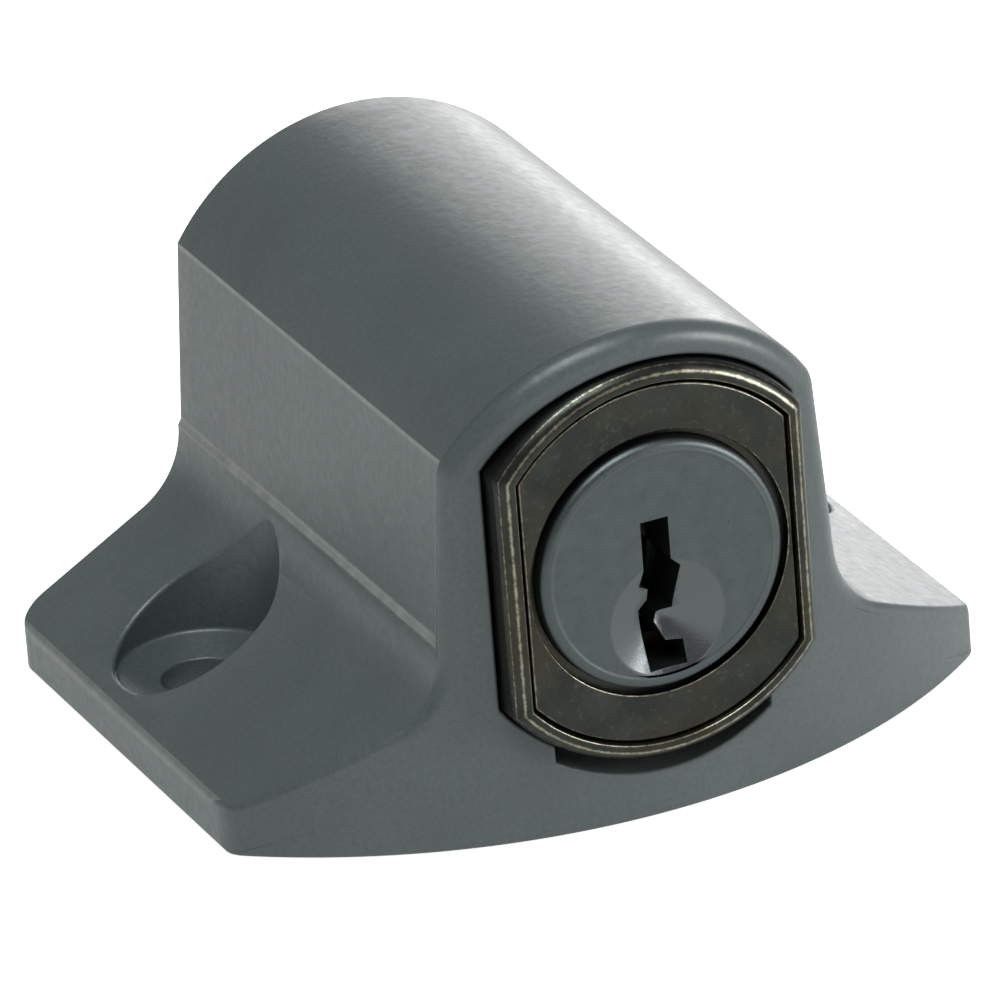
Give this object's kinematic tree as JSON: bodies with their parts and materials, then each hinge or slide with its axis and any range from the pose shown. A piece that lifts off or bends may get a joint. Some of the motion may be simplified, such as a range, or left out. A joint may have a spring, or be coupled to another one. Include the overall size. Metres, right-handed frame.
{
  "type": "surface-mounted push lock",
  "caption": "Surface-mounted keyed push lock for a sliding door or window: arched housing on a screw flange, flat-sided push button with the key cylinder in it, and a round bolt behind.",
  "frame": {"origin": "midway between the two screw holes, on the mounting face", "axes": "+Z away from the mounting face, +Y the way the key and the button go in and the bolt comes out, +X to the right of someone facing the key"},
  "size_m": [0.0426, 0.0464, 0.0267],
  "materials": {
    "housing": "satin slate-grey powder coat on a zinc casting",
    "button": "dark nickel plate, worn bright and brassy along the edges",
    "plug": "satin nickel plate",
    "steel": "bright zinc plate",
    "spring_steel": "drawn spring wire",
    "brass": "stamped and turned brass"
  },
  "bodies": {
    "housing": {"housing": "housing", "stop_pin": "steel", "rear_bush": "brass", "spring_washer": "steel", "return_spring": "spring_steel"},
    "button": {"button_sleeve": "button", "cylinder_body": "button", "body_pin": "steel", "bolt": "steel", "bolt_pin": "steel", "catch_spring": "spring_steel"},
    "plug": {"plug": "plug", "cam_disc": "brass", "cam_pin": "steel", "cam_screw": "steel", "wafer_spring_1": "spring_steel", "wafer_spring_2": "spring_steel", "wafer_spring_3": "spring_steel", "wafer_spring_4": "spring_steel", "wafer_spring_5": "spring_steel"},
    "wafer_1": {"wafer_1": "brass"},
    "wafer_2": {"wafer_2": "brass"},
    "wafer_3": {"wafer_3": "brass"},
    "wafer_4": {"wafer_4": "brass"},
    "wafer_5": {"wafer_5": "brass"},
    "catch": {"catch": "steel"}
  },
  "joints": [
    {"name": "button_slide", "type": "slide", "parent": "housing", "child": "button", "axis": [0, -1, 0], "range_m": [0, 0.01], "deforming": ["return_spring"]},
    {"name": "plug_turn", "type": "hinge", "parent": "button", "child": "plug", "pos_m": [0, -0.018, 0.0142], "axis": [0, 1, 0], "range_deg": [0, 90]},
    {"name": "catch_slide", "type": "slide", "parent": "button", "child": "catch", "axis": [0, 0, 1], "range_m": [-0.0012, 0], "deforming": ["catch_spring"]},
    {"name": "wafer_1_slide", "type": "slide", "parent": "plug", "child": "wafer_1", "axis": [0, 0, 1], "range_m": [-0.0008, 0], "deforming": ["wafer_spring_1"]},
    {"name": "wafer_2_slide", "type": "slide", "parent": "plug", "child": "wafer_2", "axis": [0, 0, 1], "range_m": [-0.0008, 0], "deforming": ["wafer_spring_2"]},
    {"name": "wafer_3_slide", "type": "slide", "parent": "plug", "child": "wafer_3", "axis": [0, 0, 1], "range_m": [-0.0008, 0], "deforming": ["wafer_spring_3"]},
    {"name": "wafer_4_slide", "type": "slide", "parent": "plug", "child": "wafer_4", "axis": [0, 0, 1], "range_m": [-0.0008, 0], "deforming": ["wafer_spring_4"]},
    {"name": "wafer_5_slide", "type": "slide", "parent": "plug", "child": "wafer_5", "axis": [0, 0, 1], "range_m": [-0.0008, 0], "deforming": ["wafer_spring_5"]}
  ]
}
